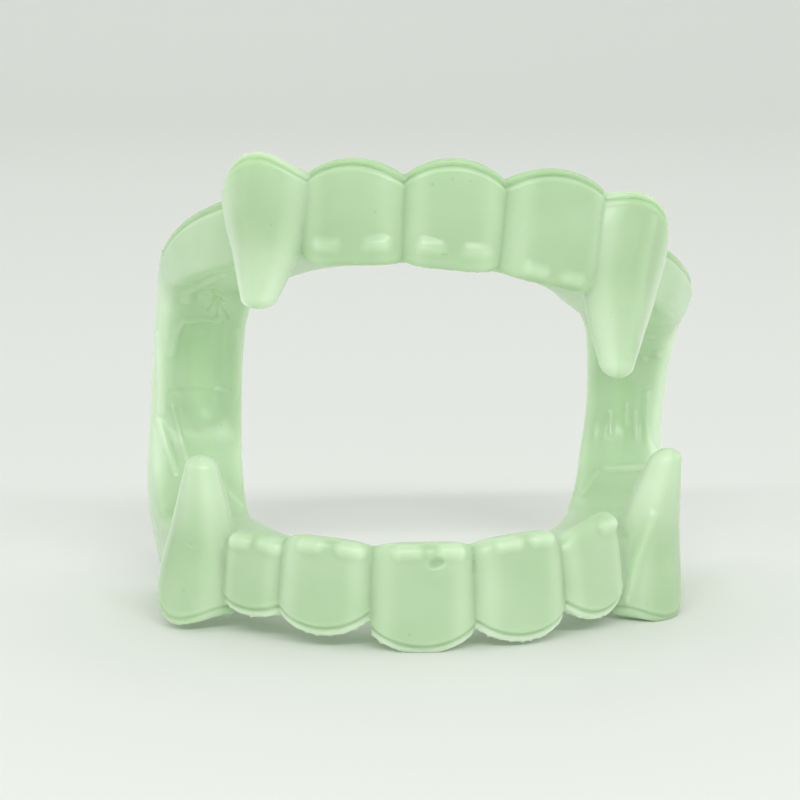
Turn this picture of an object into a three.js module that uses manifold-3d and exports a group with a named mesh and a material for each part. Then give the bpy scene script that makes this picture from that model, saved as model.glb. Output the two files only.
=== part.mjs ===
// Vampire fang denture: one soft moulding, a ring of two toothed gum channels
// that are joined at the back by two bending straps.
// X runs to the right as seen from the front, Y to the back and Z up, in millimetres.
import * as THREE from "three";
import { mergeVertices } from "three/addons/utils/BufferGeometryUtils.js";
import Module from "manifold-3d";

const wasm = await Module();
wasm.setup();

// Ring
const archRadius = 30.1; // plan radius of the outer line of both floors
const wallHeight = 10; // from the lower floor down to the gum rim
const biteGap = 34.8; // between the two floors at the front
const strapStart = 24.5; // depth at which the lower floor starts to bend up
const upperTilt = 20.3; // degrees that the upper jaw rises towards the front
const upperRoll = 5.4; // degrees that its right side hangs lower
const upperShift = 1.6; // how far the upper jaw has slipped to the right
const restTrim = 0.2; // taken off the lower rim, so that it stands flat

// Section of the channel
const channelWidth = 9.4; // from the outer face to the inner face, at the front
const wall = 1.8; // outer wall
const floorThick = 1.8;
const innerWall = 1.5; // low wall on the tongue side
const innerHeight = 4; // its height above the floor
const rimFlare = 1.5; // how far the outer wall leans out at the rim
const lipHeight = 0.9; // plain band along the gum rim
const lipStep = 0.35; // depth of the band under the tooth faces
const edgeRadius = 0.9; // rounding of the long edges
const strapDent = 0.5; // depth of the hollow on a strap's face

// Teeth
const toothBulge = 1.3; // how far a tooth swells out between its grooves
const crownDepth = 2.3; // how far a tooth reaches past the floor
const crownThick = 3.2; // thickness of that edge
const cuspDrop = 1.9; // how far the rim dips between two teeth
const crownNotch = 0.35; // share of a crown that is missing between two teeth

// Fangs
const fangWidth = 10.4; // across the gum rim
const fangSwell = 3; // how far a fang stands out of the wall at the rim
const fangBack = 4.6; // how far its root reaches in behind the wall's face
const pocketWidth = 3.6; // blind hollow behind a fang
const pocketDepth = 2.4; // below the channel's floor
const pocketIn = 2.1; // its axis at the floor, in from the wall's face

// Steps of the mesh
const toothSteps = 8;
const lobeSteps = 9;
const strapSteps = 24;
const fangSides = 18;
const pocketSides = 10;

// Each jaw's teeth from left to right. from and to are degrees round the arch, bulge and rim shares
// of toothBulge and wallHeight. cusp is how far the rim dips at both sides, of cuspDrop, and left
// and right are the crown there, as shares of crownDepth.
// The rows at both ends are plain stretches that the fangs cover.
const lowerTeeth = [
  { from: -68, to: -49, bulge: 0.1, rim: 0.86, cusp: 1, left: 0.35, right: 0.35 },
  { from: -49, to: -34, bulge: 0.5, rim: 0.73, cusp: 0.4, left: 0.95, right: 0.9 },
  { from: -34, to: -14, bulge: 1, rim: 0.83, cusp: 1, left: 1.25, right: 1 },
  { from: -14, to: 7.5, bulge: 1.2, rim: 1, cusp: 1, left: 1, right: 1.05 },
  { from: 7.5, to: 28, bulge: 1, rim: 0.93, cusp: 1, left: 1.05, right: 1.35 },
  { from: 28, to: 46, bulge: 0.7, rim: 0.82, cusp: 1, left: 0.7, right: 1.8 },
  { from: 46, to: 65, bulge: 0.1, rim: 0.86, cusp: 1, left: 0.35, right: 0.35 },
];
const upperTeeth = [
  { from: -51, to: -32.5, bulge: 0.1, rim: 0.76, cusp: 1, left: 0.35, right: 0.35 },
  { from: -32.5, to: -10.5, bulge: 0.7, rim: 0.96, cusp: 1, left: 0.9, right: 0.9 },
  { from: -10.5, to: 10, bulge: 0.7, rim: 0.99, cusp: 1, left: 0.9, right: 1 },
  { from: 10, to: 35, bulge: 0.9, rim: 1.02, cusp: 1, left: 1, right: 1.3 },
  { from: 35, to: 53, bulge: 0.1, rim: 0.76, cusp: 1, left: 0.35, right: 0.35 },
];

// Where each fang stands. angle is degrees round the arch, wide and rim are shares of fangWidth and
// wallHeight, and length goes past the floor. splay moves its tip outwards, and belly is the share
// that it is wider halfway down. Its rim is highest at peak, which counts from 0 in its middle to 1
// at its side next to the incisors, and the other side hangs by hang.
const fangs = [
  { jaw: "lower", angle: -59, wide: 1, rim: 0.93, length: 9.5, splay: 0.7, belly: 0.05, peak: 0.3, hang: 5 },
  { jaw: "lower", angle: 57, wide: 1, rim: 1.03, length: 9.8, splay: 4.4, belly: 0.1, peak: 0.25, hang: 4 },
  { jaw: "upper", angle: -41, wide: 1.13, rim: 1.03, length: 6.8, splay: 2.4, belly: 0, peak: 0.12, hang: 4 },
  { jaw: "upper", angle: 41.5, wide: 1.06, rim: 0.9, length: 11.2, splay: 1, belly: 0.2, peak: 0.5, hang: 4 },
];

// Rings of a fang from its rim to its tip. down is a share of the way, wide, swell and back are
// shares of the fang's width, fangSwell and fangBack, and drop of its hang.
const fangRings = [
  { down: 0, wide: 0.94, swell: 0.85, back: 1, drop: 1 },
  { down: 0.045, wide: 0.96, swell: 0.87, back: 1, drop: 1 },
  { down: 0.065, wide: 1, swell: 1, back: 1, drop: 0.95 },
  { down: 0.25, wide: 0.95, swell: 0.96, back: 1, drop: 0.6 },
  { down: 0.5, wide: 0.79, swell: 0.8, back: 0.98, drop: 0.2 },
  { down: 0.72, wide: 0.59, swell: 0.52, back: 0.88, drop: 0 },
  { down: 0.89, wide: 0.41, swell: 0.24, back: 0.74, drop: 0 },
  { down: 0.955, wide: 0.33, swell: 0.1, back: 0.66, drop: 0 },
  { down: 0.985, wide: 0.21, swell: -0.09, back: 0.53, drop: 0 },
  { down: 0.998, wide: 0.08, swell: -0.31, back: 0.38, drop: 0 },
];

// Rings of a pocket. down is a share of pocketDepth below the channel's floor, and wide of pocketWidth.
const pocketRings = [
  { down: -0.35, wide: 1.1 },
  { down: 0.55, wide: 1 },
  { down: 0.9, wide: 0.75 },
  { down: 1, wide: 0.35 },
];

// The ring away from its teeth. at counts 0 at the lower front, 1 where a strap starts, 2 where it
// ends and 3 at the upper front. left and right are shares of channelWidth, rim of wallHeight,
// inner of innerHeight, flare of rimFlare, crown of crownDepth and dent of strapDent.
const ringRows = [
  { at: 0, left: 1, right: 1, rim: 1, inner: 1, flare: 0.6, crown: 0.25, dent: 0 },
  { at: 0.55, left: 1.05, right: 1.08, rim: 1, inner: 1, flare: 0.6, crown: 0.25, dent: 0 },
  { at: 0.85, left: 1.2, right: 1.24, rim: 1.03, inner: 0.95, flare: -0.7, crown: 0.2, dent: 0 },
  { at: 1.08, left: 1.18, right: 1.2, rim: 0.9, inner: 0.8, flare: -0.5, crown: 0, dent: 0.2 },
  { at: 1.28, left: 1.12, right: 1.02, rim: 0.45, inner: 0.62, flare: 0.8, crown: 0, dent: 0.8 },
  { at: 1.5, left: 1.08, right: 0.93, rim: 0.3, inner: 0.55, flare: 0.8, crown: 0, dent: 1 },
  { at: 1.75, left: 1.08, right: 1.06, rim: 0.34, inner: 0.62, flare: 0.8, crown: 0, dent: 0.8 },
  { at: 2, left: 1.26, right: 1.34, rim: 0.42, inner: 0.8, flare: 0.8, crown: 0.1, dent: 0.1 },
  { at: 2.25, left: 1.36, right: 1.46, rim: 0.5, inner: 0.95, flare: 0.7, crown: 0.3, dent: 0 },
  { at: 2.55, left: 1.24, right: 1.28, rim: 0.6, inner: 1, flare: 0.7, crown: 0.3, dent: 0 },
  { at: 3, left: 1, right: 1, rim: 1, inner: 1, flare: 0.9, crown: 0.3, dent: 0 },
];

// What differs between the sides. lobe adds to rim on the left, and bow is how far the outer line
// stands out on the right, of channelWidth.
const sideRows = [
  { at: 0, lobe: 0, bow: 0 },
  { at: 1.28, lobe: 0, bow: 0 },
  { at: 1.5, lobe: 0, bow: 0.02 },
  { at: 1.75, lobe: 0, bow: 0.05 },
  { at: 2, lobe: -0.05, bow: 0.06 },
  { at: 2.25, lobe: 0.07, bow: 0.01 },
  { at: 2.55, lobe: 0.12, bow: 0 },
  { at: 3, lobe: 0, bow: 0 },
];

const rad = THREE.MathUtils.degToRad;
const lerp = THREE.MathUtils.lerp;

// The strap's arc touches the lower floor at strapStart and then the upper floor.
const slope = Math.tan(rad(upperTilt));
const strapRadius = (biteGap - strapStart * slope) / (1 + 1 / Math.cos(rad(upperTilt)));
const arcEnds = {
  lower: archAngle(strapStart),
  upper: archAngle(strapStart + strapRadius * Math.sin(rad(upperTilt))),
};

// Degrees round the arch at a depth.
function archAngle(depth) {
  return THREE.MathUtils.radToDeg(Math.acos(Math.max(0, 1 - depth / archRadius)));
}

// Half width of the arch at a depth; behind its widest place the sides run straight.
function archHalf(depth) {
  const ahead = Math.max(0, archRadius - depth);
  return Math.sqrt(archRadius ** 2 - ahead ** 2);
}

// Place on the ring of an angle round a jaw.
function placeOf(jaw, angle) {
  const share = Math.abs(angle) / arcEnds[jaw];
  return { at: jaw === "lower" ? share : 3 - share, side: angle < 0 ? -1 : 1 };
}

// One column of a table at a place on the ring, on a smooth curve through its rows.
function valueAt(rows, at, column) {
  const last = rows.length - 1;
  let i = 0;
  while (i < last - 1 && rows[i + 1].at < at) i += 1;
  const a = rows[i];
  const b = rows[i + 1];
  const steep = (j) => {
    const before = rows[Math.max(0, j - 1)];
    const after = rows[Math.min(last, j + 1)];
    return (after[column] - before[column]) / (after.at - before.at);
  };
  const span = b.at - a.at;
  const t = (at - a.at) / span;
  const rise = (1 + 2 * t) * (1 - t) ** 2 * a[column] + t * t * (3 - 2 * t) * b[column];
  return rise + span * (t * (1 - t) ** 2 * steep(i) - t * t * (1 - t) * steep(i + 1));
}

// Depth, height and turn of the floor's outer line in one side's plane; turn is 180 degrees where
// the gum side faces down, 90 where it faces the back and upperTilt on the upper jaw.
function sideView(at) {
  if (at > 1 && at < 2) {
    const turn = 180 - (at - 1) * (180 - upperTilt);
    const depth = strapStart + strapRadius * Math.sin(rad(turn));
    return { depth, height: strapRadius * (1 + Math.cos(rad(turn))), turn };
  }
  const angle = at <= 1 ? at * arcEnds.lower : (3 - at) * arcEnds.upper;
  const depth = archRadius * (1 - Math.cos(rad(angle)));
  if (at <= 1) return { depth, height: 0, turn: 180 };
  return { depth, height: biteGap - depth * slope, turn: upperTilt };
}

// The floor's outer line at a place, with the gumward direction there.
function guide(at, side) {
  const { depth, height, turn } = sideView(at);
  const upper = THREE.MathUtils.smoothstep(at, 1, 2);
  const roll = rad(upperRoll) * upper;
  const bow = side > 0 ? channelWidth * valueAt(sideRows, at, "bow") : 0;
  const x = side * archHalf(depth) + bow;
  const z = wallHeight - restTrim + height - x * Math.tan(roll);
  const gumward = new THREE.Vector3(0, Math.sin(rad(turn)), Math.cos(rad(turn)));
  gumward.applyAxisAngle(new THREE.Vector3(0, 1, 0), roll);
  return { point: new THREE.Vector3(x + upperShift * upper, depth, z), gumward };
}

// The directions of a section: along the ring, gumward and inward.
function frameAt({ at, side }) {
  const { point, gumward } = guide(at, side);
  const step = 1e-3 * side;
  const ahead = guide(Math.min(3, at + step), at + step < 0 ? -side : side).point;
  const behind = guide(Math.max(0, at - step), side).point;
  const along = ahead.sub(behind).normalize();
  const inward = along.clone().cross(gumward).normalize();
  return { point, gumward, inward, along };
}

// A point of a section, from its offsets in millimetres.
function offset({ point, gumward, inward, along }, across, into, up) {
  const p = point.clone().addScaledVector(along, across);
  return p.addScaledVector(inward, into).addScaledVector(gumward, up);
}

// Places along one jaw from left to right, with each tooth and how far across it they lie.
function jawPlaces(jaw, teeth) {
  const end = arcEnds[jaw];
  const first = teeth[0].from;
  const last = teeth[teeth.length - 1].to;
  const places = [];
  const add = (angle, tooth, v) => places.push({ ...placeOf(jaw, angle), tooth, v });
  for (let i = 0; i < lobeSteps; i += 1) add(lerp(-end, first, i / lobeSteps));
  for (const tooth of teeth) {
    for (let i = 0; i < toothSteps; i += 1) {
      const v = -Math.cos((Math.PI * i) / toothSteps);
      add(lerp(tooth.from, tooth.to, (v + 1) / 2), tooth, v);
    }
  }
  for (let i = 0; i <= lobeSteps; i += 1) add(lerp(last, end, i / lobeSteps));
  return places;
}

// Places along a strap, without its two ends.
function strapPlaces(side) {
  const steps = Array.from({ length: strapSteps - 1 }, (_, i) => (i + 1) / strapSteps);
  return steps.map((share) => ({ at: 1 + share, side }));
}

// Sizes of the section at a place.
function sizesAt({ at, side, tooth, v }) {
  const ring = (column) => valueAt(ringRows, at, column);
  const lobe = side < 0 ? valueAt(sideRows, at, "lobe") : 0;
  const sizes = {
    width: channelWidth * ring(side < 0 ? "left" : "right"),
    rim: wallHeight * (ring("rim") + lobe),
    inner: innerHeight * ring("inner"),
    flare: rimFlare * ring("flare"),
    crown: crownDepth * ring("crown"),
    dent: strapDent * ring("dent"),
    bulge: 0,
  };
  if (tooth) {
    sizes.rim = wallHeight * tooth.rim - cuspDrop * tooth.cusp * v * v;
    sizes.bulge = toothBulge * tooth.bulge * (1 - Math.abs(v) ** 5);
    sizes.crown = crownDepth * lerp(tooth.left, tooth.right, (v + 1) / 2) * (1 - crownNotch * v ** 4);
  }
  return sizes;
}

// How far in the outer face lies at a height above the floor; outwards is negative.
function faceAt({ rim, flare, bulge }, height) {
  const share = Math.max(0, height / rim);
  const swell = 1 - 0.25 * (2 * share - 0.9) ** 2;
  return -flare * share - bulge * swell;
}

// Closed outline of the ring's outer form, as [inward, gumward] pairs from the rim round the bite side.
function bodyOutline(sizes) {
  const { width, rim, inner, crown, dent } = sizes;
  const face = (height) => faceAt(sizes, height);
  const lipFoot = rim - lipHeight;
  const spare = 0.4; // taken off again by the channel
  return [
    [face(rim) + lipStep + wall + spare, rim],
    [face(rim) + lipStep, rim],
    [face(lipFoot) + lipStep, lipFoot],
    [face(lipFoot - lipStep), lipFoot - lipStep],
    [face(rim * 0.62), rim * 0.62],
    [face(rim * 0.32), rim * 0.32],
    [face(edgeRadius), edgeRadius],
    [face(0) + edgeRadius * 0.25, edgeRadius * 0.3 - crown * 0.45],
    [face(0) + edgeRadius * 0.85, -crown * 0.88],
    [face(0) + edgeRadius * 1.9, -crown],
    [crownThick - edgeRadius * 0.5, -crown * 0.72],
    [crownThick + edgeRadius * 0.4, 0],
    [(crownThick + width) / 2, dent],
    [width - edgeRadius * 1.4, 0],
    [width - edgeRadius * 0.4, edgeRadius * 0.4],
    [width, edgeRadius * 1.4],
    [width, inner],
    [width - innerWall - spare, inner],
  ];
}

// Closed outline of the gum channel that is cut out of it.
function channelOutline(sizes) {
  const { width, rim } = sizes;
  const face = (height) => faceAt(sizes, height) + sizes.bulge * 0.35 + wall;
  const above = wallHeight * 1.25;
  return [
    [face(rim) + lipStep, above],
    [face(rim) + lipStep, rim * 0.8],
    [face(rim * 0.4), lerp(floorThick, rim, 0.35)],
    [face(floorThick) + 0.2, floorThick + 0.7],
    [face(floorThick) + 1, floorThick],
    [width - innerWall - 0.8, floorThick],
    [width - innerWall, floorThick + 0.8],
    [width - innerWall, above],
  ];
}

// How far outwards a fang's axis has moved at a height above the floor.
function leanAt({ rim, length, splay }, height) {
  const top = wallHeight * rim;
  return splay * ((top - height) / (top + length)) ** 1.5;
}

// Rings of points of a fang, from its arched rim to its round tip.
function fangLoft(fang) {
  const { jaw, angle, wide, rim, length, belly, peak, hang } = fang;
  const frontward = (jaw === "lower" ? 1 : -1) * (angle < 0 ? 1 : -1);
  const frame = frameAt(placeOf(jaw, angle));
  const top = wallHeight * rim;
  return fangRings.map((ring) => {
    const height = lerp(top, -length, ring.down);
    const half = (fangWidth / 2) * wide * ring.wide * (1 + belly * Math.sin(Math.PI * ring.down));
    const front = -rimFlare * Math.max(0, height / top) - fangSwell * ring.swell;
    const back = fangBack * ring.back;
    const middle = (front + back) / 2 - leanAt(fang, height);
    return oval(fangSides, (across, deep) => {
      const into = middle + (deep * (back - front)) / 2;
      const aside = Math.abs(across * frontward - peak) / (1 + peak);
      return offset(frame, half * across, into, height - hang * ring.drop * aside ** 2);
    });
  });
}

// Rings of points of the blind pocket that hollows a fang from the channel and leans with it.
function pocketLoft(fang) {
  const frame = frameAt(placeOf(fang.jaw, fang.angle));
  return pocketRings.map(({ down, wide }) => {
    const half = (pocketWidth / 2) * wide;
    const height = floorThick - pocketDepth * down;
    const middle = pocketIn + leanAt(fang, floorThick) - leanAt(fang, height);
    return oval(pocketSides, (across, deep) => {
      return offset(frame, half * across, middle + half * 0.66 * deep, height);
    });
  });
}

// Points of an oval ring, each placed from its shares across and deep.
function oval(sides, place) {
  const turns = Array.from({ length: sides }, (_, i) => (2 * Math.PI * i) / sides);
  return turns.map((turn) => place(Math.cos(turn), Math.sin(turn)));
}

// Geometry through closed rings of points, which either close on themselves or are capped.
function skin(rings, closed) {
  const sides = rings[0].length;
  const points = rings.flat();
  const index = [];
  const bands = closed ? rings.length : rings.length - 1;
  for (let i = 0; i < bands; i += 1) {
    const a = i * sides;
    const b = ((i + 1) % rings.length) * sides;
    for (let j = 0; j < sides; j += 1) {
      const k = (j + 1) % sides;
      index.push(a + j, b + k, a + k, a + j, b + j, b + k);
    }
  }
  if (!closed) {
    for (const end of [0, rings.length - 1]) {
      const tip = points.length;
      const sum = rings[end].reduce((total, p) => total.add(p), new THREE.Vector3());
      points.push(sum.divideScalar(sides));
      for (let j = 0; j < sides; j += 1) {
        const edge = [end * sides + j, end * sides + ((j + 1) % sides)];
        if (end > 0) edge.reverse();
        index.push(...edge, tip);
      }
    }
  }
  const geometry = new THREE.BufferGeometry().setFromPoints(points);
  geometry.setIndex(index);
  return geometry;
}

// A closed geometry as a solid that can be joined and cut.
function solid(geometry) {
  const bare = geometry.clone();
  bare.deleteAttribute("normal");
  bare.deleteAttribute("uv");
  const merged = mergeVertices(bare, 1e-4);
  const vertProperties = merged.attributes.position.array;
  const triVerts = new Uint32Array(merged.index.array);
  return new wasm.Manifold(new wasm.Mesh({ numProp: 3, vertProperties, triVerts }));
}

// A capped loft as a solid, whichever way round its rings run.
function loft(rings) {
  const made = solid(skin(rings, false));
  return made.volume() < 0 ? solid(skin([...rings].reverse(), false)) : made;
}

// One outline swept round the whole ring, as a solid.
function sweep(places, outline) {
  const rings = places.map((place) => {
    const frame = frameAt(place);
    return outline(sizesAt(place)).map(([into, up]) => offset(frame, 0, into, up));
  });
  return solid(skin(rings, true));
}

// The denture: outer form and fangs, less the channel, the pockets and what lies under the rest.
function moulding() {
  const places = [
    ...jawPlaces("lower", lowerTeeth),
    ...strapPlaces(1),
    ...jawPlaces("upper", upperTeeth).reverse(),
    ...strapPlaces(-1).reverse(),
  ];
  let made = sweep(places, bodyOutline);
  for (const fang of fangs) made = made.add(loft(fangLoft(fang)));
  made = made.subtract(sweep(places, channelOutline));
  for (const fang of fangs) made = made.subtract(loft(pocketLoft(fang)));
  const size = 4 * archRadius;
  const under = new THREE.BoxGeometry(size, size, size).translate(0, 0, -size / 2);
  made = made.subtract(solid(under));
  // A cut through a thin edge can leave a crumb of no volume beside the moulding.
  return made.decompose().reduce((best, piece) => (piece.volume() > best.volume() ? piece : best));
}

// A solid's geometry, standing on Z = 0 with its bounding box centred on the origin.
function standing(made) {
  const { vertProperties, triVerts } = made.getMesh();
  const geometry = new THREE.BufferGeometry();
  geometry.setAttribute("position", new THREE.BufferAttribute(vertProperties, 3));
  geometry.setIndex(new THREE.BufferAttribute(triVerts, 1));
  geometry.computeBoundingBox();
  const middle = geometry.boundingBox.getCenter(new THREE.Vector3());
  return geometry.translate(-middle.x, -middle.y, -geometry.boundingBox.min.z);
}

const softPlastic = new THREE.MeshStandardMaterial({ color: "#bad7ad", roughness: 0.42, metalness: 0 });
const denture = new THREE.Mesh(standing(moulding()), softPlastic);
denture.name = "fang_denture";
const group = new THREE.Group();
group.add(denture);

export default group;
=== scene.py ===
# Vampire fang denture in soft glow plastic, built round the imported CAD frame.
# The form is modelled in millimetres and brought to metres at the very end.
import math

import bmesh
import bpy
from mathutils import Matrix, Vector


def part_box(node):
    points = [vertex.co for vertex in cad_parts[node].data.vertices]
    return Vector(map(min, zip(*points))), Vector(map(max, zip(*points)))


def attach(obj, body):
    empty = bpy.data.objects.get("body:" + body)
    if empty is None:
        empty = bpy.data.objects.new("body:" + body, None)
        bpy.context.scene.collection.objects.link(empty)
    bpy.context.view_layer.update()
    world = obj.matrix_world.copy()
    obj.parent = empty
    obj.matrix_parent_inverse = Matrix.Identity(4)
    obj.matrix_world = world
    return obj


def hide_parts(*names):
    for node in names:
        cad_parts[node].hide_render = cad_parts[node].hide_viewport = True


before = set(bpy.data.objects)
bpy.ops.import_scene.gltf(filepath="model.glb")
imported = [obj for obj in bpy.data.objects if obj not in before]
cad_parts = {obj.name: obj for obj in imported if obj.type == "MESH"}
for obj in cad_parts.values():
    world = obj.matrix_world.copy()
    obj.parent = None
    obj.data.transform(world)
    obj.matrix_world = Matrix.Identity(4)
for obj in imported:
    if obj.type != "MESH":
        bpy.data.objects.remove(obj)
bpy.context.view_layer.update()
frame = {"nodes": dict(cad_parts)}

for stray in ("Cube", "Light", "Camera"):
    if stray in bpy.data.objects:
        bpy.data.objects.remove(bpy.data.objects[stray])
print("frame loaded, nodes:", ", ".join(frame["nodes"]))


class Wire:
    # a socket that does maths: an expression on it adds its own Math nodes

    def __init__(self, graph, node, socket):
        self.graph, self.node, self.socket = graph, node, socket

    def out(self, key):
        return Wire(self.graph, self.node, self.node.outputs[key])

    def maths(self, operation, *others, clamp=False):
        values = dict(enumerate(others))
        return self.graph.add("ShaderNodeMath", {"operation": operation, "use_clamp": clamp}, values)

    def __add__(self, other):
        return self.maths("ADD", self, other)

    def __radd__(self, other):
        return self.maths("ADD", other, self)

    def __sub__(self, other):
        return self.maths("SUBTRACT", self, other)

    def __rsub__(self, other):
        return self.maths("SUBTRACT", other, self)

    def __mul__(self, other):
        return self.maths("MULTIPLY", self, other)

    def __rmul__(self, other):
        return self.maths("MULTIPLY", other, self)

    def __abs__(self):
        return self.maths("ABSOLUTE", self)

    def clamp(self):
        return self.maths("ADD", self, 0.0, clamp=True)

    def lessOf(self, other):
        return self.maths("MINIMUM", self, other)


class Graph:
    # adds nodes to one tree: type, settings first, then the values or links of its sockets

    def __init__(self, tree):
        self.tree = tree

    def add(self, kind, settings=None, sockets=None, out=0):
        node = self.tree.nodes.new(kind)
        for name, value in (settings or {}).items():
            setattr(node, name, value)
        for key, value in (sockets or {}).items():
            if isinstance(value, Wire):
                self.tree.links.new(value.socket, node.inputs[key])
            else:
                node.inputs[key].default_value = value
        return Wire(self, node, node.outputs[out] if len(node.outputs) else None)

    def smoothStep(self, value, low, high):
        sockets = {0: value, 1: low, 2: high, 3: 0.0, 4: 1.0}
        return self.add("ShaderNodeMapRange", {"interpolation_type": "SMOOTHSTEP"}, sockets)

    def bell(self, value, middle, reach):  # 1 at the middle, 0 from reach away
        return self.smoothStep(abs(value - middle), reach, 0.0)

    def mixColor(self, share, a, b):
        settings = {"data_type": "RGBA"}
        return self.add("ShaderNodeMix", settings, {0: share, 6: a, 7: b}, out=2)

    def vectors(self, operation, first, second, out=0):
        return self.add("ShaderNodeVectorMath", {"operation": operation}, {0: first, 1: second}, out)

    def scaled(self, vector, scale):
        return self.add("ShaderNodeVectorMath", {"operation": "SCALE"}, {0: vector, "Scale": scale})

    def objectMesh(self, source):
        info = self.add("GeometryNodeObjectInfo", {"transform_space": "ORIGINAL"}, {0: source})
        return info.out("Geometry")


def newMesh(name, points, faces, marks=()):
    # marks are named lists of three numbers for each point
    mesh = bpy.data.meshes.new(name)
    mesh.from_pydata(points, [], faces)
    for key, values in dict(marks).items():
        layer = mesh.attributes.new(key, "FLOAT_VECTOR", "POINT")
        layer.data.foreach_set("vector", [number for row in values for number in row])
    mesh.update()
    obj = bpy.data.objects.new(name, mesh)
    bpy.context.scene.collection.objects.link(obj)
    return obj


denture = {
    "archRadius": 30.1,  # plan radius of the outer line of both floors
    "wallHeight": 10.0,  # from the lower floor down to the gum rim
    "biteGap": 34.8,  # between the floors at the front
    "strapStart": 24.5,  # depth where the lower floor starts to bend up
    "upperTilt": 20.3,  # degrees that the upper jaw rises towards the front
    "upperRoll": 5.4,  # degrees that its right side hangs lower
    "upperShift": 1.6,  # how far it has slipped to the right
    "restTrim": 0.2,  # taken off the lower rim, so that it stands flat
    "channelWidth": 9.4,
    "wall": 1.8,
    "floorThick": 1.8,
    "innerWall": 1.5,
    "innerHeight": 4.0,
    "rimFlare": 1.5,
    "lipHeight": 0.9,  # plain band along the gum rim
    "lipStep": 0.35,
    "edgeRadius": 0.9,
    "strapDent": 0.5,
    "toothBulge": 1.3,
    "crownDepth": 2.3,
    "crownThick": 3.2,
    "cuspDrop": 1.9,
    "crownNotch": 0.35,
    "toothSteps": 26,  # sections across a tooth
    "lobeSteps": 22,  # sections along the plain stretch behind it
    "strapSteps": 90,  # sections along a strap
    "voxel": 0.22,  # grain of the skin before it is thinned
    "faceCount": 190000,  # triangles that are left
}

# teeth from left to right: degrees from and to, bulge and rim as shares of toothBulge and wallHeight,
# cusp of cuspDrop, then the crown at the left and right as shares of crownDepth
lowerTeeth = [
    (-68, -49, 0.1, 0.86, 1, 0.35, 0.35),
    (-49, -34, 0.5, 0.73, 0.4, 0.95, 0.9),
    (-34, -14, 1.0, 0.83, 1, 1.25, 1.0),
    (-14, 7.5, 1.2, 1.0, 1, 1.0, 1.05),
    (7.5, 28, 1.0, 0.93, 1, 1.05, 1.35),
    (28, 46, 0.7, 0.82, 1, 0.7, 1.8),
    (46, 65, 0.1, 0.86, 1, 0.35, 0.35),
]
upperTeeth = [
    (-51, -32.5, 0.1, 0.76, 1, 0.35, 0.35),
    (-32.5, -10.5, 0.7, 0.96, 1, 0.9, 0.9),
    (-10.5, 10, 0.7, 0.99, 1, 0.9, 1.0),
    (10, 35, 0.9, 1.02, 1, 1.0, 1.3),
    (35, 53, 0.1, 0.76, 1, 0.35, 0.35),
]

# the ring away from its teeth: at (0 lower front, 1 and 2 a strap's ends, 3 upper front), widths
# left and right, then rim, inner wall, flare, crown and dent, all as shares
ringColumns = ("at", "left", "right", "rim", "inner", "flare", "crown", "dent")
ringRows = [
    (0, 1, 1, 1, 1, 0.6, 0.25, 0),
    (0.55, 1.05, 1.08, 1, 1, 0.6, 0.25, 0),
    (0.85, 1.2, 1.24, 1.03, 0.95, -0.7, 0.2, 0),
    (1.08, 1.18, 1.2, 0.9, 0.8, -0.5, 0, 0.2),
    (1.28, 1.12, 1.02, 0.45, 0.62, 0.8, 0, 0.8),
    (1.5, 1.08, 0.93, 0.3, 0.55, 0.8, 0, 1),
    (1.75, 1.08, 1.06, 0.34, 0.62, 0.8, 0, 0.8),
    (2, 1.26, 1.34, 0.42, 0.8, 0.8, 0.1, 0.1),
    (2.25, 1.36, 1.46, 0.5, 0.95, 0.7, 0.3, 0),
    (2.55, 1.24, 1.28, 0.6, 1, 0.7, 0.3, 0),
    (3, 1, 1, 1, 1, 0.9, 0.3, 0),
]
# at, what the left side's rim has more, and how far the right side bows out
sideRows = [
    (0, 0, 0),
    (1.28, 0, 0),
    (1.5, 0, 0.02),
    (1.75, 0, 0.05),
    (2, -0.05, 0.06),
    (2.25, 0.07, 0.01),
    (2.55, 0.12, 0),
    (3, 0, 0),
]

upperSlope = math.tan(math.radians(denture["upperTilt"]))
strapRadius = (denture["biteGap"] - denture["strapStart"] * upperSlope) / (
    1 + 1 / math.cos(math.radians(denture["upperTilt"])))


def lerp(a, b, share):
    return a + (b - a) * share


def hermite(rows, column, place):
    # a smooth curve through one column of a table, whose first column is the place
    last = len(rows) - 1
    i = 0
    while i < last - 1 and rows[i + 1][0] < place:
        i += 1
    a, b = rows[i], rows[i + 1]

    def steep(j):
        before, after = rows[max(0, j - 1)], rows[min(last, j + 1)]
        return (after[column] - before[column]) / (after[0] - before[0])

    span = b[0] - a[0]
    t = (place - a[0]) / span
    rise = (1 + 2 * t) * (1 - t) ** 2 * a[column] + t * t * (3 - 2 * t) * b[column]
    return rise + span * (t * (1 - t) ** 2 * steep(i) - t * t * (1 - t) * steep(i + 1))


def archAngle(depth):
    return math.degrees(math.acos(max(0.0, 1 - depth / denture["archRadius"])))


def archHalf(depth):
    ahead = max(0.0, denture["archRadius"] - depth)
    return math.sqrt(denture["archRadius"] ** 2 - ahead ** 2)


arcEnds = {
    "lower": archAngle(denture["strapStart"]),
    "upper": archAngle(denture["strapStart"] + strapRadius * math.sin(math.radians(denture["upperTilt"]))),
}


def placeOf(jaw, angle):
    share = abs(angle) / arcEnds[jaw]
    return share if jaw == "lower" else 3 - share, -1 if angle < 0 else 1


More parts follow.
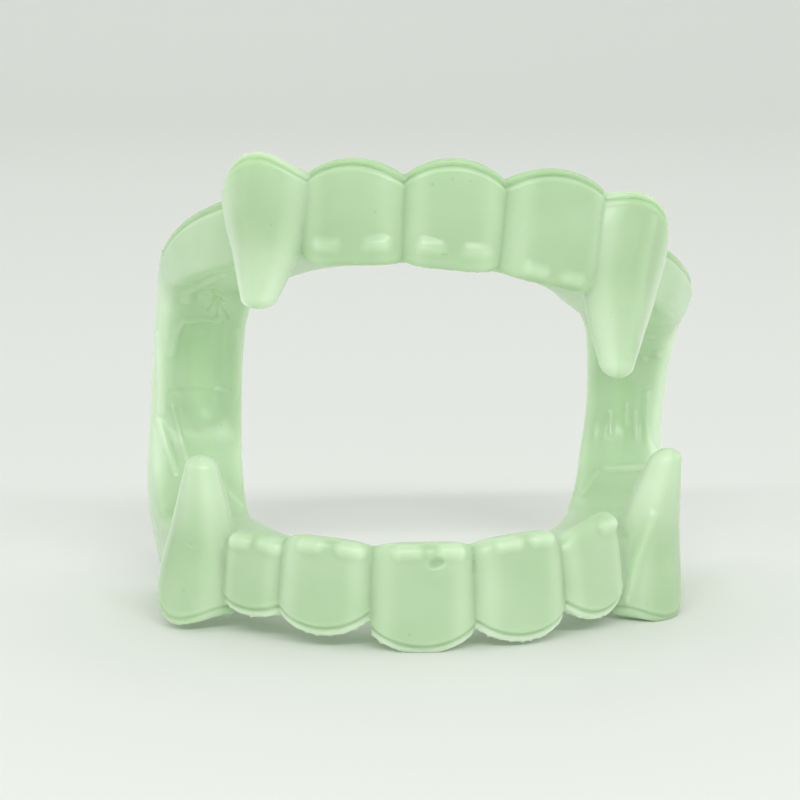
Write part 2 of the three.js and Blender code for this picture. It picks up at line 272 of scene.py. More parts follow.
def guide(at, side):
    # the floor's outer line at a place on the ring, and the gumward direction there
    tilt = denture["upperTilt"]
    if 1 < at < 2:
        turn = 180 - (at - 1) * (180 - tilt)
        depth = denture["strapStart"] + strapRadius * math.sin(math.radians(turn))
        height = strapRadius * (1 + math.cos(math.radians(turn)))
    else:
        angle = at * arcEnds["lower"] if at <= 1 else (3 - at) * arcEnds["upper"]
        depth = denture["archRadius"] * (1 - math.cos(math.radians(angle)))
        turn = 180 if at <= 1 else tilt
        height = 0 if at <= 1 else denture["biteGap"] - depth * upperSlope
    share = min(1.0, max(0.0, at - 1))
    upper = share * share * (3 - 2 * share)
    roll = math.radians(denture["upperRoll"]) * upper
    bow = denture["channelWidth"] * hermite(sideRows, 2, at) if side > 0 else 0
    x = side * archHalf(depth) + bow
    z = denture["wallHeight"] - denture["restTrim"] + height - x * math.tan(roll)
    gumward = Vector((0, math.sin(math.radians(turn)), math.cos(math.radians(turn))))
    gumward = Matrix.Rotation(roll, 3, "Y") @ gumward
    return Vector((x + denture["upperShift"] * upper, depth, z)), gumward


def frameAt(at, side):
    point, gumward = guide(at, side)
    step = 1e-3 * side
    ahead = guide(min(3, abs(at + step)), -side if at + step < 0 else side)[0]
    behind = guide(max(0, at - step), side)[0]
    along = (ahead - behind).normalized()
    return point, gumward, along.cross(gumward).normalized(), along


def offset(section, across, into, up):
    point, gumward, inward, along = section
    return point + along * across + inward * into + gumward * up


def jawPlaces(jaw, teeth):
    # (at, side, tooth, how far across it) along one jaw from left to right
    end, steps = arcEnds[jaw], denture["lobeSteps"]
    places = [(*placeOf(jaw, lerp(-end, teeth[0][0], i / steps)), None, 0) for i in range(steps)]
    for tooth in teeth:
        for i in range(denture["toothSteps"]):
            v = -math.cos(math.pi * i / denture["toothSteps"])
            places.append((*placeOf(jaw, lerp(tooth[0], tooth[1], (v + 1) / 2)), tooth, v))
    places += [(*placeOf(jaw, lerp(teeth[-1][1], end, i / steps)), None, 0) for i in range(steps + 1)]
    return places


def strapPlaces(side):
    return [(1 + i / denture["strapSteps"], side, None, 0) for i in range(1, denture["strapSteps"])]


def sizesAt(at, side, tooth, v):
    column = {name: hermite(ringRows, i, at) for i, name in enumerate(ringColumns) if i}
    lobe = hermite(sideRows, 1, at) if side < 0 else 0
    sizes = {
        "width": denture["channelWidth"] * column["left" if side < 0 else "right"],
        "rim": denture["wallHeight"] * (column["rim"] + lobe),
        "inner": denture["innerHeight"] * column["inner"],
        "flare": denture["rimFlare"] * column["flare"],
        "crown": denture["crownDepth"] * column["crown"],
        "dent": denture["strapDent"] * column["dent"],
        "bulge": 0.0,
    }
    if tooth:
        sizes["rim"] = denture["wallHeight"] * tooth[3] - denture["cuspDrop"] * tooth[4] * v * v
        sizes["bulge"] = denture["toothBulge"] * tooth[2] * (1 - abs(v) ** 5)
        sizes["crown"] = denture["crownDepth"] * lerp(tooth[5], tooth[6], (v + 1) / 2)
        sizes["crown"] *= 1 - denture["crownNotch"] * v ** 4
    return sizes


def faceAt(sizes, height):
    share = max(0.0, height / sizes["rim"])
    return -sizes["flare"] * share - sizes["bulge"] * (1 - 0.25 * (2 * share - 0.9) ** 2)


def bodyOutline(sizes):
    width, rim, inner = sizes["width"], sizes["rim"], sizes["inner"]
    crown, thick, edge = sizes["crown"], denture["crownThick"], denture["edgeRadius"]
    step, spare = denture["lipStep"], 0.4
    foot = rim - denture["lipHeight"]
    return [
        (faceAt(sizes, rim) + step + denture["wall"] + spare, rim),
        (faceAt(sizes, rim) + step, rim),
        (faceAt(sizes, foot) + step, foot),
        (faceAt(sizes, foot - step), foot - step),
        (faceAt(sizes, rim * 0.62), rim * 0.62),
        (faceAt(sizes, rim * 0.32), rim * 0.32),
        (faceAt(sizes, edge), edge),
        (faceAt(sizes, 0) + edge * 0.25, edge * 0.3 - crown * 0.45),
        (faceAt(sizes, 0) + edge * 0.85, -crown * 0.88),
        (faceAt(sizes, 0) + edge * 1.9, -crown),
        (thick - edge * 0.5, -crown * 0.72),
        (thick + edge * 0.4, 0),
        ((thick + width) / 2, sizes["dent"]),
        (width - edge * 1.4, 0),
        (width - edge * 0.4, edge * 0.4),
        (width, edge * 1.4),
        (width, inner),
        (width - denture["innerWall"] - spare, inner),
    ]


def channelOutline(sizes):
    width, rim, floor = sizes["width"], sizes["rim"], denture["floorThick"]
    back = sizes["bulge"] * 0.35 + denture["wall"]
    above = denture["wallHeight"] * 1.25
    inner = width - denture["innerWall"]
    return [
        (faceAt(sizes, rim) + back + denture["lipStep"], above),
        (faceAt(sizes, rim) + back + denture["lipStep"], rim * 0.8),
        (faceAt(sizes, rim * 0.4) + back, lerp(floor, rim, 0.35)),
        (faceAt(sizes, floor) + back + 0.2, floor + 0.7),
        (faceAt(sizes, floor) + back + 1, floor),
        (inner - 0.8, floor),
        (inner, floor + 0.8),
        (inner, above),
    ]


def rounded(outline, times):
    # corners cut off again and again, which rounds a closed outline
    for _ in range(times):
        pairs = zip(outline, outline[1:] + outline[:1])
        outline = [tuple(lerp(a[i], b[i], share) for i in (0, 1)) for a, b in pairs for share in (0.25, 0.75)]
    return outline


def skinFaces(rings, sides, closed):
    bands = rings if closed else rings - 1
    faces = []
    for i in range(bands):
        a, b = i * sides, ((i + 1) % rings) * sides
        faces += [(a + j, b + j, b + (j + 1) % sides, a + (j + 1) % sides) for j in range(sides)]
    if not closed:
        faces += [tuple(range(sides)), tuple(reversed(range(bands * sides, rings * sides)))]
    return faces


def sweep(name, outline, times):
    places = jawPlaces("lower", lowerTeeth) + strapPlaces(1)
    places += jawPlaces("upper", upperTeeth)[::-1] + strapPlaces(-1)[::-1]
    points, marks = [], {"ringMark": [], "faceMark": []}
    for at, side, tooth, v in places:
        section, sizes = frameAt(at, side), sizesAt(at, side, tooth, v)
        shape = rounded(outline(sizes), times)
        across = abs(v) if tooth and tooth[2] > 0.2 else -1
        for into, up in shape:
            points.append(offset(section, 0, into, up))
            marks["ringMark"].append((at, into, into / sizes["width"]))
            marks["faceMark"].append((up + sizes["crown"], up - sizes["rim"] + denture["lipHeight"], across))
    return newMesh(name, points, skinFaces(len(places), len(shape), True), marks)


fang = {
    "width": 10.4,  # across the gum rim
    "swell": 3.0,  # how far it stands out of the wall at the rim
    "back": 4.6,  # how far its root reaches in behind the wall's face
    "capStart": 0.915,  # share of the way where the round tip starts
    "pocketWidth": 3.6,
    "pocketDepth": 2.4,
    "pocketIn": 2.1,
    "sides": 56,
    "rings": 60,
}
fangs = [  # jaw, degrees round the arch, width and rim shares, length, splay, belly, peak, hang
    ("lower", -59, 1.0, 0.93, 9.5, 0.7, 0.05, 0.3, 5.0),
    ("lower", 57, 1.0, 1.03, 9.8, 4.4, 0.1, 0.25, 4.0),
    ("upper", -41, 1.13, 1.03, 6.8, 2.4, 0.0, 0.12, 4.0),
    ("upper", 41.5, 1.06, 0.9, 11.2, 1.0, 0.2, 0.5, 4.0),
]
fangRows = [  # way down, then width, swell, back and drop, as shares
    (0, 0.96, 0.92, 1, 1),
    (0.065, 1, 1, 1, 0.95),
    (0.25, 0.95, 0.96, 1, 0.6),
    (0.5, 0.79, 0.8, 0.98, 0.2),
    (0.72, 0.59, 0.52, 0.88, 0),
    (0.89, 0.41, 0.24, 0.74, 0),
    (0.955, 0.33, 0.1, 0.66, 0),
]
pocketRows = [(-0.35, 1.1), (0.55, 1.0), (0.9, 0.75), (1, 0.35)]


def leanAt(rim, length, splay, height):
    top = denture["wallHeight"] * rim
    return splay * ((top - height) / (top + length)) ** 1.5


def fangRings(jaw, angle, wide, rim, length, splay, belly, peak, hang):
    section = frameAt(*placeOf(jaw, angle))
    frontward = (1 if jaw == "lower" else -1) * (1 if angle < 0 else -1)
    top, start = denture["wallHeight"] * rim, fang["capStart"]
    for i in range(fang["rings"]):
        down = math.sin(math.pi / 2 * i / fang["rings"])
        shape = min(down, start)
        cap = math.sqrt(max(0.0, 1 - (max(0.0, down - start) / (1 - start)) ** 2))
        share, swell, back, drop = (hermite(fangRows, i, shape) for i in (1, 2, 3, 4))
        height = lerp(top, -length, down)
        half = fang["width"] / 2 * wide * share * (1 + belly * math.sin(math.pi * down)) * cap
        front = -denture["rimFlare"] * max(0.0, height / top) - fang["swell"] * swell
        middle = (front + fang["back"] * back) / 2 - leanAt(rim, length, splay, height)
        deep = (fang["back"] * back - front) / 2 * cap
        ring, marks = [], []
        for side in range(fang["sides"]):
            turn = 2 * math.pi * side / fang["sides"]
            aside = abs(math.cos(turn) * frontward - peak) / (1 + peak)
            into, up = middle + deep * math.sin(turn), height - hang * drop * aside ** 2
            ring.append(offset(section, half * math.cos(turn), into, up))
            marks.append((down, height - top + denture["lipHeight"], math.cos(turn) * frontward))
        yield ring, marks


def makeFang(number):
    points, marks = [], []
    for ring, ringMarks in fangRings(*fangs[number]):
        points += ring
        marks += ringMarks
    rings = len(points) // fang["sides"]
    return newMesh(f"fang{number}", points, skinFaces(rings, fang["sides"], False), {"fangMark": marks})


def makePocket(number):
    jaw, angle, _, rim, length, splay = fangs[number][:6]
    section, points = frameAt(*placeOf(jaw, angle)), []
    lean = leanAt(rim, length, splay, denture["floorThick"])
    for down, wide in pocketRows:
        half = fang["pocketWidth"] / 2 * wide
        up = denture["floorThick"] - fang["pocketDepth"] * down
        middle = fang["pocketIn"] + lean - leanAt(rim, length, splay, up)
        for i in range(24):
            turn = 2 * math.pi * i / 24
            points.append(offset(section, half * math.cos(turn), middle + half * 0.66 * math.sin(turn), up))
    return newMesh(f"pocket{number}", points, skinFaces(len(pocketRows), 24, False))


def facesOut(obj):
    work = bmesh.new()
    work.from_mesh(obj.data)
    bmesh.ops.recalc_face_normals(work, faces=work.faces)
    if work.calc_volume(signed=True) < 0:
        bmesh.ops.reverse_faces(work, faces=work.faces)
    work.to_mesh(obj.data)
    work.free()
    return obj


body = facesOut(sweep("bodySweep", bodyOutline, 1))
channel = facesOut(sweep("channelSweep", channelOutline, 1))
fangObjects = [facesOut(makeFang(i)) for i in range(len(fangs))]
pockets = [facesOut(makePocket(i)) for i in range(len(fangs))]
reach = 4 * denture["archRadius"]
corners = [(x * reach, y * reach, z * reach) for z in (-1, 0) for y in (-1, 1) for x in (-1, 1)]
sixFaces = [(0, 2, 3, 1), (4, 5, 7, 6), (0, 1, 5, 4), (1, 3, 7, 5), (3, 2, 6, 7), (2, 0, 4, 6)]
under = facesOut(newMesh("underRest", corners, sixFaces))
print("form swept:", len(body.data.vertices), "points on the body")


def nodeModifier(obj, tree, **values):
    modifier = obj.modifiers.new(tree.name, "NODES")
    modifier.node_group = tree
    for item in tree.interface.items_tree:
        if item.item_type == "SOCKET" and item.in_out == "INPUT" and item.name in values:
            modifier[item.identifier] = values[item.name]
    return modifier


def newTree(name, inputs):
    tree = bpy.data.node_groups.new(name, "GeometryNodeTree")
    tree.interface.new_socket("Geometry", in_out="INPUT", socket_type="NodeSocketGeometry")
    for label, kind, value in inputs:
        socket = tree.interface.new_socket(label, in_out="INPUT", socket_type=kind)
        if value is not None:
            socket.default_value = value
    tree.interface.new_socket("Geometry", in_out="OUTPUT", socket_type="NodeSocketGeometry")
    graph = Graph(tree)
    return tree, graph, graph.add("NodeGroupInput")


def closeTree(graph, geometry, material):
    real = graph.add("GeometryNodeRealizeInstances", None, {0: geometry})
    finished = graph.add("GeometryNodeSetMaterial", None, {0: real, "Material": material})
    graph.add("NodeGroupOutput", None, {0: finished})


def mouldTree():
    fangNames = [f"Fang {i + 1}" for i in range(len(fangs))]
    cutNames = ["Channel", "Under Rest"] + [f"Pocket {i + 1}" for i in range(len(fangs))]
    inputs = [(name, "NodeSocketObject", None) for name in fangNames + cutNames]
    tree, graph, source = newTree("mouldDenture", inputs + [("Material", "NodeSocketMaterial", None)])
    solid = source.out("Geometry")
    boolean = {"operation": "UNION", "solver": "MANIFOLD"}
    for name in fangNames:
        solid = graph.add("GeometryNodeMeshBoolean", boolean, {1: solid})
        graph.tree.links.new(graph.objectMesh(source.out(name)).socket, solid.node.inputs[1])
    boolean = {"operation": "DIFFERENCE", "solver": "MANIFOLD"}
    for name in cutNames:
        sockets = {0: solid, 1: graph.objectMesh(source.out(name))}
        solid = graph.add("GeometryNodeMeshBoolean", boolean, sockets)
    closeTree(graph, solid, source.out("Material"))
    return tree, fangNames, cutNames


relief = {
    "Lip Depth": 0.16,  # groove at the foot of the plain band along the rim
    "Unevenness": 0.05,
    "Flash Height": 0.2,  # ragged flakes where the mould's halves met
    "Fold Strength": 1.0,
    "Seed": 7.0,
}

# ridges and dents of the soft plastic: reach and height in millimetres, then the line they follow
folds = [
    (0.9, 0.35, (-29.1, 36.9, 29.3), (-28.9, 37.3, 24.5), (-28.9, 36.7, 20.2)),
    (0.7, 0.25, (-29.3, 36.7, 19.4), (-28.4, 35, 16.4), (-27.3, 32.9, 13.5)),
    (0.4, 0.14, (-27.5, 36.6, 20.7), (-26.7, 35.6, 17.6), (-26, 34.2, 15)),
    (0.6, 0.2, (-27.5, 36.6, 27), (-26.9, 35.6, 30), (-26.2, 35, 31.2),
     (-24.1, 34.9, 31.4), (-22.1, 35.1, 31.2)),
    (2.6, -0.4, (-25.1, 36.3, 28.2), (-24.9, 37, 24), (-24.8, 36.9, 21)),
    (0.35, -0.12, (-27.8, 36.9, 22.7), (-24.2, 37.1, 22.6), (-20.2, 37.1, 22.5)),
    (0.45, 0.25, (-22.4, 37.3, 22.5), (-21.1, 37.1, 22.5)),
    (0.7, 0.2, (-19.7, 35.6, 30), (-19.6, 37, 26.1), (-19.6, 37.3, 21.6)),
    (1.0, 0.25, (-24.5, 32.5, 13.4), (-22.3, 31.6, 12.3), (-19.9, 28.2, 10.2)),
    (0.4, 0.2, (25.3, 37.1, 18.8), (25.1, 36.2, 16.2)),
    (0.4, 0.2, (27.1, 37, 19.7), (27, 36.5, 17.5)),
    (0.4, 0.2, (28.2, 36.8, 18.9), (28.1, 35.8, 16)),
    (0.8, 0.35, (29.7, 37, 20.9), (29.6, 35.6, 15.7), (30.3, 35.1, 14.4)),
    (2.2, -0.35, (26.8, 37.1, 21.3), (26.8, 36.5, 17.4), (26.5, 34.6, 14.4)),
    (0.8, 0.25, (24.2, 33.4, 12.7), (26.7, 33.2, 12.8), (29.2, 33.2, 12.9)),
    (0.4, 0.14, (20.3, 28.7, 10.4), (23.1, 32.9, 12.4)),
    (1.1, 0.35, (-22.5, 21.2, 39), (-24.1, 26.9, 37.1), (-25.8, 30.8, 35.4), (-25.8, 32.7, 34.1)),
    (1.7, -0.5, (-22.3, 32.9, 33.9)),
    (0.4, -0.2, (-22.3, 32.9, 33.9), (-23.8, 31.8, 34.8)),
    (0.4, -0.2, (-22.3, 32.9, 33.9), (-23.4, 34, 32.7)),
    (0.4, -0.2, (-22.3, 32.9, 33.9), (-22.2, 34.7, 31.9)),
    (0.4, -0.2, (-22.3, 32.9, 33.9), (-20.9, 34.7, 31.6)),
    (0.4, -0.2, (-22.3, 32.9, 33.9), (-23, 30.1, 35.7)),
    (0.8, 0.3, (29.4, 32.9, 28.8)),
    (0.9, 0.3, (30.6, 35.2, 26.2)),
    (0.7, 0.25, (29, 35.7, 25.6)),
    (1.6, 0.3, (24.4, 6.4, 46), (23.3, 5.4, 41.2), (21.9, 3.5, 32.6)),
    (0.8, 0.3, (22.7, 9, 2.7), (23.8, 8.9, 7.8), (25.6, 9.5, 12.4)),
    (0.3, 0.1, (-26.9, 11.8, 9.7), (-26.1, 11.2, 9.4)),
    (0.75, -0.45, (-0.7, -1.2, 10.1), (0.1, -1.2, 10.3)),
    (0.3, -0.15, (4.1, 0.9, 11.3), (4, -0.1, 8.8)),
]
# darker spots: reach and place
spots = [(0.6, (-0.3, -1.2, 10.2)), (0.9, (-22.3, 32.9, 33.9)), (0.25, (-18.6, 4.3, 50.6))]
# soft pads at the bite edges: degrees round the arch and height over the edge
padPlaces = {
    "lower": [(-45, 1.2), (-37, 1.0), (-27, 0.9), (-18.2, 0.9), (-6.3, 0.9), (2.6, 0.9), (15, 0.9), (23, 0.9),
              (42, 1.3)],
    "upper": [(-26.3, 2.0), (-15.8, 2.0), (-4.6, 2.1), (4.6, 2.1), (17.5, 1.1), (26.3, 1.1)],
}
padHeights = {"lower": 0.5, "upper": 0.34}
padReach, padHalf = 1.3, 1.6  # millimetres across its line, and degrees along the arch

# shades along the part, from 0 for the deep colour to 1 for the pale one; wall is the plastic's own tone, the
# rest are painted light and shade
shades = {
    "wall": 0.3,
    "lobeLight": 0.15,  # painted light, added on the upper side lobes
    # painted shade: the whole upper jaw a little darker
    "upperJawShade": -0.12,
    # painted light: the straps lighter, with painted highlights along their outer and inner edges
    "strap": 0.15,
    "strapFrontLight": 0.5,
    "strapBackLight": 0.3,
    # painted light down both sides of each tooth, painted shade in the gaps between teeth
    "toothSideLight": 0.15,
    "toothGapShade": -0.15,
    # painted highlight on the soft pads at the bite edges
    "pads": 0.7,
    # painted light along the lower gum rim, painted shade along the upper one
    "lowerRimLight": 0.4,
    "upperRimShade": -0.4,
    # fangs: painted shade in the hollow core, painted light on both flanks and towards the tip
    "fangCoreShade": 0.18,
    "fangOutsideLight": 0.55,
    "fangInsideLight": 0.25,
    "fangTipLight": 0.35,
    "lipShade": 0.35,  # share of the dark colour, painted as shade in the groove
}


def padLine(jaw, angle, above):
    # a short line along the arch at a pad, on the body's face
    line = []
    teeth = lowerTeeth if jaw == "lower" else upperTeeth
    for turned in (angle - padHalf, angle + padHalf):
        at, side = placeOf(jaw, turned)
        tooth = next(row for row in teeth if row[0] <= angle <= row[1])
        v = 2 * (turned - tooth[0]) / (tooth[1] - tooth[0]) - 1
        sizes = sizesAt(at, side, tooth, v)
        up = above - sizes["crown"]
        into = faceAt(sizes, max(0, up)) + (0.5 if up < 0 else 0)
        line.append(tuple(offset(frameAt(at, side), 0, into, up)))
    return (padReach, padHeights[jaw], *line)


def lineDistance(graph, place, points):
    # distance from a place to a line through points
    if len(points) == 1:
        return graph.vectors("DISTANCE", place, points[0], "Value")
    nearest = None
    for a, b in zip(points, points[1:]):
        run = Vector(b) - Vector(a)
        start = graph.vectors("SUBTRACT", place, a)
        share = graph.vectors("DOT_PRODUCT", start, run / run.length_squared, "Value").clamp()
        gap = graph.vectors("DISTANCE", start, graph.scaled(run, share), "Value")
        nearest = gap if nearest is None else nearest.lessOf(gap)
    return nearest


def sampled(graph, geometry, name):
    # the three numbers of a mark at the nearest point of a form
    mark = graph.add("GeometryNodeInputNamedAttribute", {"data_type": "FLOAT_VECTOR"}, {"Name": name})
    place = graph.add("GeometryNodeInputPosition")
    found = graph.add("GeometryNodeSampleNearestSurface", {"data_type": "FLOAT_VECTOR"},
                      {"Mesh": geometry, "Value": mark, "Sample Position": place})
    parts = graph.add("ShaderNodeSeparateXYZ", None, {0: found})
    return parts.out(0), parts.out(1), parts.out(2)


def nearness(graph, geometry, near, far):
    # 1 where a surface is closer than near, 0 from far away
    gap = graph.add("GeometryNodeProximity", {"target_element": "FACES"}, {0: geometry}).out("Distance")
    return graph.smoothStep(gap, far, near)


def reliefTree():
    inputs = [("Form", "NodeSocketObject", None), ("Fangs", "NodeSocketObject", None)]
    inputs += [(name, "NodeSocketFloat", value) for name, value in relief.items()]
    tree, graph, source = newTree("surfaceRelief", inputs + [("Material", "NodeSocketMaterial", None)])
    form, fangForm = (graph.objectMesh(source.out(name)) for name in ("Form", "Fangs"))
    at, into, share = sampled(graph, form, "ringMark")
    above, lipGap, across = sampled(graph, form, "faceMark")
    way, fangGap, inward = sampled(graph, fangForm, "fangMark")
    onFang = nearness(graph, fangForm, 0.12, 0.4)
    onForm = 1 - onFang
    outer = graph.smoothStep(into, 1.4, 0.6) * onForm
    place = graph.add("GeometryNodeInputPosition")

    def noise(scale, detail):
        sockets = {"Vector": place, "W": source.out("Seed"), "Scale": scale, "Detail": detail}
        return graph.add("ShaderNodeTexNoise", {"noise_dimensions": "4D"}, sockets).out("Fac")

    lip = graph.bell(lipGap, 0.0, 0.36) * outer + graph.bell(fangGap, 0.0, 0.36) * onFang
    bead = graph.bell(lipGap, -0.6, 0.45) * outer + graph.bell(fangGap, -0.6, 0.45) * onFang
    rise = (noise(0.35, 2.0) - 0.5) * 2 * source.out("Unevenness")
    rise = rise + (bead * 0.4 - lip) * source.out("Lip Depth")
    flash = graph.smoothStep(noise(2.2, 3.0), 0.5, 0.7) * source.out("Flash Height")
    rim = graph.smoothStep(lipGap, 0.55, 0.85) * graph.smoothStep(at, 1.4, 1.3) * onForm
    biteEdge = graph.smoothStep(above, 0.35, 0.0) * graph.smoothStep(at, 2.5, 2.6) * onForm
    rise = rise + flash * (rim + biteEdge * 0.5)
    # the pads' domes also paint a highlight into the tone
    padHighlight = 0.0
    padLines = [padLine(jaw, *row) for jaw, rows in padPlaces.items() for row in rows]
    for number, (reach, height, *points) in enumerate(padLines + folds):
        dome = graph.smoothStep(lineDistance(graph, place, points), reach, 0.0) * height
        rise = rise + dome * source.out("Fold Strength")
        if number < len(padLines):
            padHighlight = dome + padHighlight
    lifted = graph.vectors("ADD", place, graph.scaled(graph.add("GeometryNodeInputNormal"), rise))
    standing = graph.vectors("MAXIMUM", lifted, (-999.0, -999.0, 0.0))  # nothing sinks below the floor
    sockets = {"Geometry": source.out("Geometry"), "Position": standing}
    moved = graph.add("GeometryNodeSetPosition", None, sockets)

    # painted light on the straps, lighter still along both edges as painted highlights
    strap = graph.smoothStep(at, 1.1, 1.35) * graph.smoothStep(at, 2.0, 1.8)
    strapLight = graph.smoothStep(share, 0.22, 0.0) * shades["strapFrontLight"]
    strapLight = strapLight + graph.smoothStep(share, 0.85, 1.0) * shades["strapBackLight"] + shades["strap"]
    # painted light along the lower gum rim, painted shade along the upper one
    rimLightAndShade = graph.smoothStep(at, 1.5, 1.0) * (shades["lowerRimLight"] - shades["upperRimShade"]) + shades["upperRimShade"]
    # the form's tone: the wall's own tone with painted light and shade on top
    formTone = shades["wall"] + graph.bell(at, 2.15, 0.45) * shades["lobeLight"] + strap * strapLight
    formTone = formTone + graph.smoothStep(at, 2.4, 2.6) * shades["upperJawShade"] + padHighlight * shades["pads"]
    # painted light down both sides of each tooth, painted shade in the gaps between teeth
    formTone = formTone + graph.bell(across, 0.7, 0.3) * shades["toothSideLight"]
    formTone = formTone + graph.smoothStep(across, 0.95, 1.0) * shades["toothGapShade"]
    formTone = formTone + graph.smoothStep(lipGap, 0.0, 0.3) * outer * rimLightAndShade
    # painted shade in the fang's core, painted light on its flanks and towards its tip
    fangLightAndShade = shades["fangCoreShade"] + graph.smoothStep(inward, -0.2, -0.7) * shades["fangOutsideLight"]
    fangLightAndShade = fangLightAndShade + graph.smoothStep(inward, 0.6, 0.95) * shades["fangInsideLight"]
    fangLightAndShade = fangLightAndShade + graph.smoothStep(way, 0.4, 0.9) * shades["fangTipLight"]
    tone = formTone * onForm + fangLightAndShade * onFang
    # painted shade in the lip groove, then the darker spots
    dark = lip * shades["lipShade"]
    for reach, spot in spots:
        dark = dark + graph.smoothStep(lineDistance(graph, place, [spot]), reach, reach * 0.3)
    stored = moved
    for name, value in (("tone", tone.clamp()), ("dark", dark.clamp())):
        stored = graph.add("GeometryNodeStoreNamedAttribute", {"data_type": "FLOAT", "domain": "POINT"},
                           {"Geometry": stored, "Name": name, "Value": value})
    closeTree(graph, stored, source.out("Material"))
    return tree


def plainMesh(obj, name):
    # the evaluated object as a plain mesh on a new object
    bpy.context.view_layer.update()
    mesh = bpy.data.meshes.new_from_object(obj.evaluated_get(bpy.context.evaluated_depsgraph_get()))
    made = bpy.data.objects.new(name, mesh)
    bpy.context.scene.collection.objects.link(made)
    return made


def joined(name, objects):
    mesh = bpy.data.meshes.new(name)
    work = bmesh.new()
    for obj in objects:
        work.from_mesh(obj.data)
    work.to_mesh(mesh)
    work.free()
    made = bpy.data.objects.new(name, mesh)
    bpy.context.scene.collection.objects.link(made)
    return made


def rgb(red, green, blue):
    def linear(level):
        share = level / 255
        return share / 12.92 if share <= 0.04045 else ((share + 0.055) / 1.055) ** 2.4

    return (linear(red), linear(green), linear(blue), 1.0)


plastic = {
    "deep": rgb(162, 191, 149),
    "pale": rgb(208, 225, 201),
    "dark": rgb(124, 157, 108),  # painted shade in the lip groove, and spots
    "roughness": 0.27,
    "scatter": 0.003,  # how far light runs inside, in metres
    # painted glow: the whole part emits a little of its own colour, which lifts its shaded sides
    "paintedGlow": 0.13,
    "cloudScale": 140.0,  # faint clouds in the colour
    "cloudShare": 0.4,
    "grainScale": 700.0,  # fine grain of the skin
    "grainDepth": 0.0001,
    "speckScale": 1800.0,  # dust specks
    "speckShare": 0.3,
    "lineShare": 0.6,  # how much of the dark colour the painted groove shade and the spots take
}


def glowPlastic():
    material = bpy.data.materials.new("glowPlastic")
    material.use_nodes = True
    material.node_tree.nodes.clear()
    graph = Graph(material.node_tree)
    place = graph.add("ShaderNodeTexCoord").out("Object")
    tone = graph.add("ShaderNodeAttribute", {"attribute_name": "tone"}).out("Fac")
    dark = graph.add("ShaderNodeAttribute", {"attribute_name": "dark"}).out("Fac")

    def noise(scale, detail):
        sockets = {"Vector": place, "Scale": scale, "Detail": detail}
        return graph.add("ShaderNodeTexNoise", None, sockets).out("Fac")

    cloud, grain = noise(plastic["cloudScale"], 1.0), noise(plastic["grainScale"], 0.5)
    specks = noise(plastic["speckScale"], 0.0)
    # tone carries painted light and shade from the relief, plus faint clouds
    tone = (tone + (cloud - 0.5) * plastic["cloudShare"]).clamp()
    color = graph.mixColor(tone, plastic["deep"], plastic["pale"])
    fleck = graph.smoothStep(specks, 0.83, 0.9) * plastic["speckShare"]
    color = graph.mixColor((dark * plastic["lineShare"] + fleck).clamp(), color, plastic["dark"])
    sockets = {"Strength": 0.05, "Distance": plastic["grainDepth"], "Height": grain}
    bump = graph.add("ShaderNodeBump", None, sockets)
    # the emission is a painted glow that evens out the shading
    shader = graph.add("ShaderNodeBsdfPrincipled", None, {
        "Base Color": color, "Roughness": plastic["roughness"], "Normal": bump,
        "Subsurface Weight": 1.0, "Subsurface Scale": plastic["scatter"],
        "Subsurface Radius": (0.8, 1.0, 0.7), "IOR": 1.46,
        "Emission Color": color, "Emission Strength": plastic["paintedGlow"],
    })
    graph.add("ShaderNodeOutputMaterial", None, {"Surface": shader})
    return material


softPlastic = glowPlastic()


def mouldedSkin():
    # the swept forms joined and cut, then given an even skin
    tree, fangNames, cutNames = mouldTree()
    values = dict(zip(fangNames, fangObjects))
    values.update(zip(cutNames, [channel, under] + pockets))
    nodeModifier(body, tree, Material=softPlastic, **values)
    skin = body.modifiers.new("evenSkin", "REMESH")
    skin.mode, skin.voxel_size, skin.use_smooth_shade = "VOXEL", denture["voxel"], True
    relax = body.modifiers.new("relax", "SMOOTH")
    relax.factor, relax.iterations = 0.5, 5
    return plainMesh(body, "moulded")


def reliefSkin(moulded, formMarks, fangMarks):
    # the fine relief and the shades, then the mesh thinned to its number of triangles
    nodeModifier(moulded, reliefTree(), Form=formMarks, Fangs=fangMarks, Material=softPlastic)
    thin = moulded.modifiers.new("thin", "DECIMATE")
    thin.ratio = min(1.0, denture["faceCount"] / (2 * len(moulded.data.polygons)))
    return plainMesh(moulded, "glowFangDenture")


def placeInFrame(piece):
    # over the middle of the CAD node, in metres
    lowest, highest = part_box("fang_denture")
    points = [v.co for v in piece.data.vertices]
    ends = [(min(p[i] for p in points), max(p[i] for p in points)) for i in (0, 1)]
    middle = [(lowest[i] + highest[i]) / 2 * 1000 for i in (0, 1)]
    x, y = (middle[i] - sum(ends[i]) / 2 for i in (0, 1))
    piece.data.transform(Matrix.Scale(0.001, 4) @ Matrix.Translation((x, y, 0)))


formMarks = bpy.data.objects.new("formMarks", body.data.copy())
bpy.context.scene.collection.objects.link(formMarks)
fangMarks = joined("fangMarks", fangObjects)
moulded = mouldedSkin()
print("moulded:", len(moulded.data.polygons), "faces")
piece = reliefSkin(moulded, formMarks, fangMarks)
print("finished:", len(piece.data.polygons), "faces")
placeInFrame(piece)
piece.data.materials.clear()
piece.data.materials.append(softPlastic)
for obj in [body, moulded, formMarks, fangMarks, channel, under, *fangObjects, *pockets]:
    bpy.data.objects.remove(obj)
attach(piece, "root")
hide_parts("fang_denture")

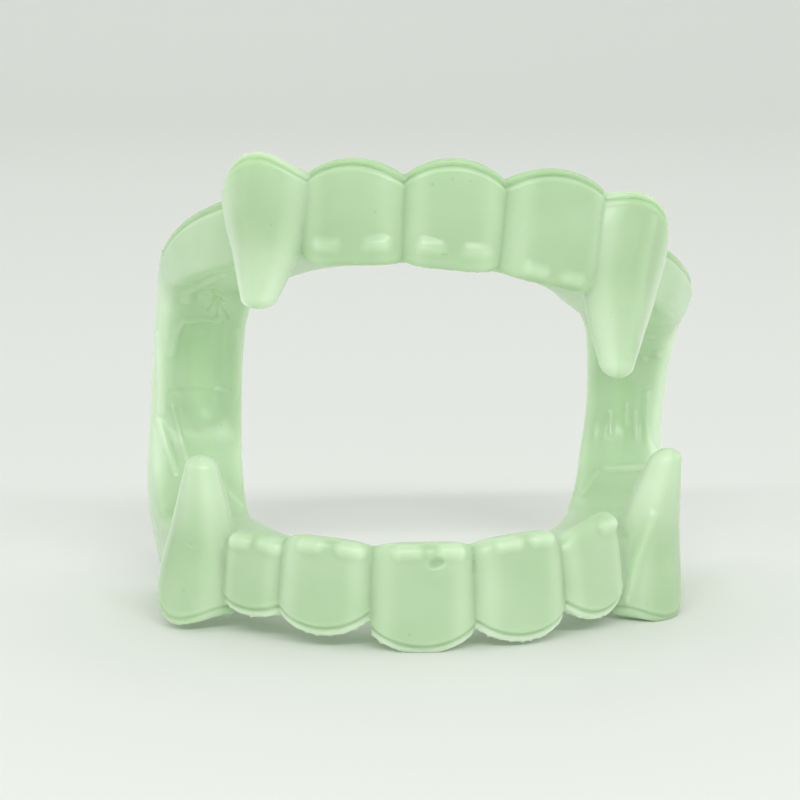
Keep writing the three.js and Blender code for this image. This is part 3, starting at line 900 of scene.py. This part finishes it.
studio = {
    "floor": rgb(236, 238, 234),
    "azimuth": -6.0,
    "elevation": 11.0,
    "distance": 0.4,
    "target": (-0.0009, 0.0001, 0.0246),
    "aimRight": -0.00263,  # how far the aim lies beside and over the target
    "aimUp": -0.00023,
    "lens": 157.3,
    "room": (0.9, 0.92, 0.9, 1),
    "roomStrength": 0.66,
    "lights": [  # name, place, width, height, watts
        ("frontStrip", (0.0, -0.5, 0.4), 0.7, 0.025, 1.8),
        ("lowFront", (0.05, -0.55, 0.05), 0.35, 0.35, 0.15),
        ("topBack", (0.0, 0.35, 0.5), 0.4, 0.4, 0.4),
        ("sideLeft", (-0.7, 0.1, 0.3), 0.5, 0.5, 0.65),
        ("sideRight", (0.7, 0.1, 0.3), 0.5, 0.5, 0.65),
    ],
}


def makeFloor():
    # a floor that curves up into a backdrop
    depth, radius, height, half = 0.5, 0.25, 0.9, 1.4
    profile, bends = [(-1.2, 0.0), (depth, 0.0)], 16
    for i in range(1, bends + 1):
        turn = math.pi / 2 * i / bends
        profile.append((depth + radius * math.sin(turn), radius * (1 - math.cos(turn))))
    profile.append((depth + radius, height))
    points = [(x, y, z) for y, z in profile for x in (-half, half)]
    faces = [(2 * i, 2 * i + 1, 2 * i + 3, 2 * i + 2) for i in range(len(profile) - 1)]
    floor = newMesh("studioFloor", points, faces)
    for face in floor.data.polygons:
        face.use_smooth = True
    material = bpy.data.materials.new("paleFloor")
    material.use_nodes = True
    material.node_tree.nodes.clear()
    graph = Graph(material.node_tree)
    shader = graph.add("ShaderNodeBsdfPrincipled", None, {"Base Color": studio["floor"], "Roughness": 0.7})
    graph.add("ShaderNodeOutputMaterial", None, {"Surface": shader})
    floor.data.materials.append(material)


def areaLight(name, place, wide, tall, power):
    data = bpy.data.lights.new(name, "AREA")
    data.shape, data.size, data.size_y, data.energy = "RECTANGLE", wide, tall, power
    light = bpy.data.objects.new(name, data)
    light.location = place
    light.rotation_mode = "QUATERNION"
    light.rotation_quaternion = (Vector((0, 0, 0.027)) - Vector(place)).to_track_quat("-Z", "Y")
    bpy.context.scene.collection.objects.link(light)


def makeRoom():
    world = bpy.data.worlds.new("paleRoom")
    world.use_nodes = True
    background = world.node_tree.nodes["Background"].inputs
    background["Color"].default_value = studio["room"]
    background["Strength"].default_value = studio["roomStrength"]
    bpy.context.scene.world = world
    bpy.context.scene.view_settings.view_transform = "Standard"


def makeCamera():
    turn, rise = math.radians(studio["azimuth"]), math.radians(studio["elevation"])
    back = Vector((math.sin(turn) * math.cos(rise), -math.cos(turn) * math.cos(rise), math.sin(rise)))
    right = Vector((math.cos(turn), math.sin(turn), 0))
    aim = Vector(studio["target"]) + right * studio["aimRight"] + back.cross(right) * studio["aimUp"]
    data = bpy.data.cameras.new("camera")
    data.lens, data.sensor_width = studio["lens"], 36.0
    data.clip_start, data.clip_end = 0.01, 20
    camera = bpy.data.objects.new("camera", data)
    camera.location = aim + back * studio["distance"]
    camera.rotation_mode = "QUATERNION"
    camera.rotation_quaternion = (-back).to_track_quat("-Z", "Y")
    bpy.context.scene.collection.objects.link(camera)
    return camera


makeFloor()
for light in studio["lights"]:
    areaLight(*light)
makeRoom()
bpy.context.scene.camera = makeCamera()
print("studio set:", len(studio["lights"]), "lights")
